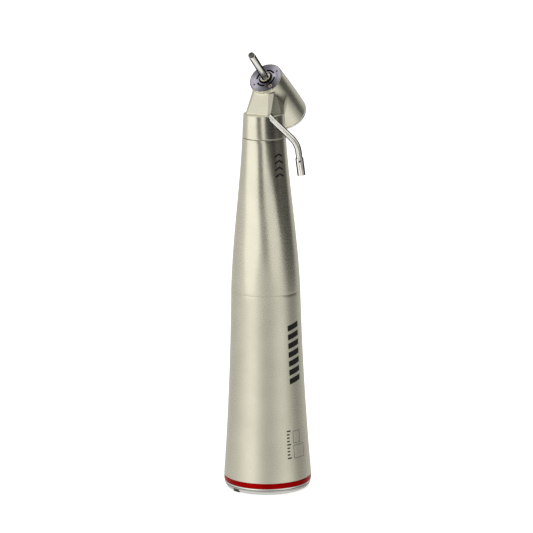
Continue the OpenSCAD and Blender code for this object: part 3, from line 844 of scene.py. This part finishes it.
def socket_field(p):
    """The drilling that the coolant tube is fixed in."""
    start = TUBE_ROOT + UP_LEG * TUBE_SOCKET
    away = p - np.array(start)
    along = away @ np.array(-UP_LEG)
    radial = np.linalg.norm(away - along[:, None] * np.array(-UP_LEG), axis=1)
    return np.maximum(radial - TUBE_R, -along)


def housing_field(p):
    """The whole housing: collar, neck and barrel filleted together, less the bores and the tube's socket."""
    q = to_head(p)
    body = np.minimum(collar_field(p), neck_field(p))
    back = np.clip((p[:, 1] + 1.0) / 4.0, 0, 1)
    fillet = 0.25 + 0.75 * back * back * (3 - 2 * back)
    body = round_union(body, barrel_field(q), fillet)
    body = np.maximum(body, BARREL_END - q[:, 2])
    body = round_join(body, -bores_field(p, q), 0.05)
    return np.maximum(body, -socket_field(p))


def field_mesh(name, field, low_corner, high_corner, step):
    """A mesh of the surface where the field is zero: one vertex per cell, then pulled onto the surface."""
    axes = [np.arange(a, b + step, step) for a, b in zip(low_corner, high_corner)]
    shape = tuple(len(a) for a in axes)
    grid = np.stack(np.meshgrid(*axes, indexing="ij"), -1).reshape(-1, 3)
    values = np.concatenate([field(part) for part in np.array_split(grid, 12)]).reshape(shape)
    solid = values < 0
    total = np.zeros((int(np.prod(shape)), 3))
    hits = np.zeros(int(np.prod(shape)))
    quads = []
    for axis in range(3):
        one, two = (tuple(slice(a, b) if k == axis else slice(1, -1) for k in range(3))
                    for a, b in ((0, -1), (1, None)))
        change = np.argwhere(solid[one] != solid[two])
        base = change + np.array([0 if k == axis else 1 for k in range(3)])
        other = base.copy()
        other[:, axis] += 1
        va, vb = values[tuple(base.T)], values[tuple(other.T)]
        points = base.astype(float)
        points[:, axis] += va / (va - vb)
        b_axis, c_axis = (axis + 1) % 3, (axis + 2) % 3
        ring = []
        for db, dc in ((-1, -1), (0, -1), (0, 0), (-1, 0)):
            cell = base.copy()
            cell[:, b_axis] += db
            cell[:, c_axis] += dc
            flat = np.ravel_multi_index(cell.T, shape)
            np.add.at(total, flat, points)
            np.add.at(hits, flat, 1)
            ring.append(flat)
        quad = np.stack(ring, 1)
        quad[va > 0] = quad[va > 0][:, ::-1]
        quads.append(quad)
    quads = np.concatenate(quads)
    used = np.flatnonzero(hits)
    vertices = total[used] / hits[used, None] * step + np.array(low_corner)
    number = np.zeros(len(hits), int)
    number[used] = np.arange(len(used))
    normals = slopes(field, vertices)
    for _ in range(4):
        distance = np.clip(field(vertices), -step, step)
        vertices = vertices - normals * distance[:, None]
        normals = slopes(field, vertices)
    mesh = bpy.data.meshes.new(name)
    mesh.from_pydata((vertices * MM).tolist(), [], number[quads].tolist())
    mesh.update()
    return mesh


def slopes(field, p):
    """Unit normals of the field at the points p."""
    h = 0.004
    result = np.zeros_like(p)
    for axis in range(3):
        offset = np.zeros(3)
        offset[axis] = h
        result[:, axis] = field(p + offset) - field(p - offset)
    return result / np.maximum(np.linalg.norm(result, axis=1, keepdims=True), 1e-9)


def make_head_housing():
    step = 0.12
    mesh = field_mesh("head_housing_skin", housing_field, (-5.4, -5.4, 76.2), (5.4, 14.0, 98.9), step)
    new_piece("head_housing_skin", mesh, "satin_steel", BODY, ["head_housing"], sharp=50)


# ---------- face, chuck and bur ----------

def slot_cutter(r0, r1, z0, z1, start, end, place):
    """A curved slot's cutter: part of a ring between two angles."""
    steps = 14
    angles = [math.radians(start + (end - start) * k / steps) for k in range(steps + 1)]
    vertices = [
        (r * math.cos(a) * MM, r * math.sin(a) * MM, z * MM)
        for r, z in ((r0, z0), (r1, z0), (r1, z1), (r0, z1)) for a in angles
    ]
    row = steps + 1
    faces = [
        (j * row + k, j * row + k + 1, (j + 1) % 4 * row + k + 1, (j + 1) % 4 * row + k)
        for j in range(4) for k in range(steps)
    ]
    faces += [(0, row, 2 * row, 3 * row), (steps, row + steps, 2 * row + steps, 3 * row + steps)]
    mesh = bpy.data.meshes.new("slot_cutter")
    mesh.from_pydata(vertices, [], faces)
    return settle(mesh, place)


def make_nozzle_plate():
    outline = rounded(
        [(1.62, -1.0), (3.1, -1.0), (3.1, -0.45), (PLATE_R, -0.45), (PLATE_R, 0.06), (2.62, 0.0),
         (2.50, -0.07), (1.84, -0.07), (1.80, 0.06), (1.62, 0.06)],
        [0, 0, 0, 0, 0.10, 0, 0.03, 0.02, 0.04, 0.05],
        4,
    )
    plate = lathe("nozzle_plate_skin", outline, 160, HEAD)
    holes = []
    for angle in (45, 225):
        a = math.radians(angle)
        holes.append(drill(0.22, -0.6, 0.4, (2.95 * math.cos(a), 2.95 * math.sin(a)), HEAD, 24))
    for angle in (-15, 75, 165, 255):
        holes.append(slot_cutter(1.90, 2.34, -1.2, 0.3, angle - 30, angle + 30, HEAD))
    jet = 2.87 * math.cos(math.pi / 4)
    holes.append(drill(0.451, -2, 2, (jet, -jet), HEAD, 32))
    new_piece("nozzle_plate_skin", cut(plate, holes), "face_steel", BODY, ["nozzle_plate"])
    nozzle = rounded([(0.2, -1.0), (0.45, -1.0), (0.45, 0.04), (0.2, 0.04)], [0, 0, 0.07, 0.07], 3)
    place = HEAD @ Matrix.Translation((jet * MM, -jet * MM, 0))
    turned_piece("coolant_jet_skin", nozzle, 40, place, "nose_steel", BODY, ["coolant_jet"])


def make_bur():
    tip = BUR_REACH
    foot = -9.6
    top = tip - 0.42
    shank = rounded([(0, foot), (SHANK_R, foot), (SHANK_R, top), (0, top)], [0, 0.12, 0.05, 0], 4)
    turned_piece("bur_skin", shank, 64, HEAD, "bur_steel", "bur", ["bur"])
    end = rounded(
        [(0, tip - 0.44), (0.70, tip - 0.44), (0.70, tip), (0.36, tip), (0.28, tip - 0.2), (0, tip - 0.2)],
        [0, 0, 0.1, 0.04, 0, 0],
        4,
    )
    turned_piece("bur_end", end, 64, HEAD, "dark_steel", "bur")


def make_chuck():
    outline = rounded(
        [(1.05, -5.2), (1.05, 0.55), (1.28, 0.55), (1.28, -1.25), (1.35, -1.25), (1.35, -5.6), (1.1, -5.6),
         (1.1, -8.6), (1.35, -8.6), (1.35, -10.7), (0.5, -10.7), (0.5, -9.9), (0.82, -9.9), (0.82, -5.2)],
        [0, 0.06, 0.12, 0, 0, 0, 0, 0, 0, 0.05, 0, 0, 0, 0],
        4,
    )
    turned_piece("chuck_spindle_skin", outline, 96, HEAD, "nose_steel", "chuck", ["chuck_spindle"])


# ---------- back cap and button ----------

def make_back():
    outline = rounded(
        [(BACK_R, BARREL_END), (BACK_R, CAP_END), (2.8, CAP_END), (2.8, -13.8), (3.1, -13.8), (3.1, -12.2),
         (1.0, -12.2), (1.0, -11.6), (1.8, -11.6), (1.8, -11.05), (2.4, -11.05), (2.4, -8.7), (3.5, -8.7),
         (3.5, BARREL_END)],
        [0.15, 0.72, 0.12, 0, 0, 0, 0, 0, 0, 0, 0, 0, 0, 0],
        10,
    )
    turned_piece("back_cap_skin", outline, 192, HEAD, "cap_satin", BODY, ["back_cap"])
    button = rounded(
        [(0, -14.42), (1.9, -14.5), (2.72, -14.5), (2.72, -13.75), (3.04, -13.75), (3.04, -13.2),
         (0.9, -13.2), (0.9, -11.5), (0, -11.5)],
        [0, 0.8, 0.22, 0, 0.05, 0.05, 0, 0.05, 0],
        8,
    )
    turned_piece("push_button_skin", button, 160, HEAD, "cap_satin", "button", ["push_button"])


# ---------- coolant tube ----------

def tube_route():
    """Points down the middle of the tube: straight, one round bend, straight."""
    steps = 28
    bend = math.pi - UP_LEG.angle(DOWN_LEG)
    trim = TUBE_BEND * math.tan(bend / 2)
    start = TUBE_CORNER + UP_LEG * trim
    centre = TUBE_CORNER + (UP_LEG + DOWN_LEG).normalized() * TUBE_BEND / math.cos(bend / 2)
    axis = (-UP_LEG).cross(DOWN_LEG).normalized()
    points = [TUBE_ROOT + UP_LEG * TUBE_SOCKET]
    for k in range(steps + 1):
        points.append(centre + Matrix.Rotation(bend * k / steps, 3, axis) @ (start - centre))
    return points + [TUBE_END]


def swept(name, points, radii):
    """A closed pipe along a route in one plane; radii are its inner and its outer radius."""
    sides = 48
    plane = (points[1] - points[0]).cross(points[-1] - points[-2]).normalized()
    vertices = []
    for i, point in enumerate(points):
        along = (points[min(i + 1, len(points) - 1)] - points[max(i - 1, 0)]).normalized()
        side = along.cross(plane)
        for r in radii:
            for k in range(sides):
                a = 2 * math.pi * k / sides
                vertices.append((point + (side * math.cos(a) + plane * math.sin(a)) * r) * MM)
    faces = []
    row = sides * len(radii)

    def at(i, j, k):
        return i * row + j * sides + k % sides

    last = len(points) - 1
    for k in range(sides):
        for i in range(last):
            for j in range(2):
                faces.append((at(i, j, k), at(i, j, k + 1), at(i + 1, j, k + 1), at(i + 1, j, k)))
        for i in (0, last):
            faces.append((at(i, 0, k), at(i, 0, k + 1), at(i, 1, k + 1), at(i, 1, k)))
    mesh = bpy.data.meshes.new(name)
    mesh.from_pydata(vertices, [], faces)
    return settle(mesh)


def aimed(at, direction):
    """The place at a point in mm, with +Z along a direction."""
    return Matrix.Translation(at * MM) @ direction.to_track_quat("Z", "Y").to_matrix().to_4x4()


def make_tube():
    hole_at = aimed(TUBE_END - DOWN_LEG * (FERRULE_LEN - 0.7), Vector((0.6, -1.0, 0)).normalized())
    tube = swept("irrigation_tube_skin", tube_route(), [TUBE_R - TUBE_WALL, TUBE_R])
    tube = cut(tube, [drill(SPRAY_HOLE_R, 0, 1.4, (0, 0), hole_at, 24)])
    piece = new_piece("irrigation_tube_skin", tube, "tube_steel", BODY, ["irrigation_tube"])
    piece.visible_glossy = False

    collar = rounded([(TUBE_R, 0), (0.84, 0), (0.84, 1.3), (TUBE_R, 1.3)], [0, 0, 0.05, 0.02])
    place = aimed(TUBE_ROOT + UP_LEG * TUBE_SOCKET, -UP_LEG)
    turned_piece("tube_collar_skin", collar, 64, place, "tube_steel", BODY, ["tube_collar"])

    ferrule = rounded(
        [(TUBE_R, 0), (FERRULE_R, 0), (FERRULE_R, FERRULE_LEN), (TUBE_R, FERRULE_LEN)],
        [0.03, 0.09, 0.06, 0.03],
    )
    top = TUBE_END - DOWN_LEG * FERRULE_LEN
    mesh = lathe("tube_ferrule_skin", ferrule, 96, aimed(top, DOWN_LEG))
    mesh = cut(mesh, [drill(SPRAY_HOLE_R, 0, 1.4, (0, 0), hole_at, 24)])
    piece = new_piece("tube_ferrule_skin", mesh, "tube_steel", BODY, ["tube_ferrule"])
    piece.visible_glossy = False
    # Painted shade: a dark disc inside the spray hole stands in for the shade in its bore.
    shade_piece = drill(SPRAY_HOLE_R - 0.005, 0.6, 0.72, (0, 0), hole_at, 24)
    new_piece("spray_hole_shade", shade_piece, "rubber_black", BODY)


# ---------- plain marks in place of print ----------

def mark(name, shapes, radius_at, angle, ink="dark_mark"):
    """Thin dark marks bent round a sleeve; a shape is a list of (across, height) corners in mm."""
    work = bmesh.new()
    for corners in shapes:
        under, over = ([work.verts.new((u, z, lift)) for u, z in corners] for lift in (-0.02, 0.008))
        work.faces.new(over)
        work.faces.new(list(reversed(under)))
        for k in range(len(corners)):
            n = (k + 1) % len(corners)
            work.faces.new((under[k], under[n], over[n], over[k]))
    for across in np.arange(-2.5, 2.5, 0.2):
        parts = work.verts[:] + work.edges[:] + work.faces[:]
        bmesh.ops.bisect_plane(work, geom=parts, plane_co=(across, 0, 0), plane_no=(1, 0, 0))
    for z in np.arange(5, 80, 0.5):
        parts = work.verts[:] + work.edges[:] + work.faces[:]
        bmesh.ops.bisect_plane(work, geom=parts, plane_co=(0, z, 0), plane_no=(0, 1, 0))
    for vertex in work.verts:
        u, z, lift = vertex.co
        a = math.radians(angle) + u / radius_at(z)
        r = radius_at(z) + lift
        vertex.co = Vector((r * math.cos(a), r * math.sin(a), z)) * MM
    bmesh.ops.recalc_face_normals(work, faces=work.faces)
    mesh = bpy.data.meshes.new(name)
    work.to_mesh(mesh)
    work.free()
    new_piece(name, mesh, ink, BODY, sharp=30)


def box_mark(u0, u1, z0, z1):
    """A plain filled rectangle."""
    return [(u0, z0), (u1, z0), (u1, z1), (u0, z1)]


def chevron(z, width, rise, thick):
    """The two arms of a plain chevron, from its lower ends at z."""
    half = width / 2
    return [
        [(-half, z), (0, z + rise), (0, z + rise + thick), (-half, z + thick)],
        [(0, z + rise), (half, z), (half, z + thick), (0, z + rise + thick)],
    ]


def outline_mark(u0, u1, z0, z1, line):
    """A plain rectangle drawn with a thin line."""
    return [
        box_mark(u0, u1, z0, z0 + line), box_mark(u0, u1, z1 - line, z1),
        box_mark(u0, u0 + line, z0 + line, z1 - line), box_mark(u1 - line, u1, z0 + line, z1 - line),
    ]


def make_marks():
    chevrons = []
    for k in range(4):
        chevrons += chevron(72.7 + 1.5 * k, 2.3, 0.6, 0.42)
    mark("direction_mark", chevrons, front_radius, -20.5)
    slants = []
    for k in range(7):
        z = 25.2 + 2.05 * k
        slants.append([(-1.75, z), (1.75, z + 0.7), (1.75, z + 2.0), (-1.75, z + 1.3)])
    mark("grip_mark", slants, rear_radius, -9.5)
    ticks = [box_mark(-0.5, 0.5 if k % 4 == 0 else 0.2, 8.1 + 0.78 * k, 8.42 + 0.78 * k) for k in range(9)]
    mark("tick_mark", ticks, rear_radius, -27)
    outlines = outline_mark(-1.35, 0.75, 11.5, 14.4, 0.13) + outline_mark(-1.35, 2.1, 8.0, 11.1, 0.13)
    mark("outline_mark", outlines, rear_radius, -11.5, "faint_mark")


# ---------- materials for the CAD nodes that stay ----------

def dress_nodes():
    """Gives every CAD node the procedural material of its slot in the record."""
    for entry in frame["record"]["subparts"]:
        node = frame["nodes"][entry["node"]]
        node.data.materials.clear()
        node.data.materials.append(MATERIALS[entry["material_slot"]])


make_camera()
make_studio()
MATERIALS = make_materials()
dress_nodes()
make_sleeves()
make_base()
make_head_housing()
make_nozzle_plate()
make_bur()
make_chuck()
make_back()
make_tube()
make_marks()
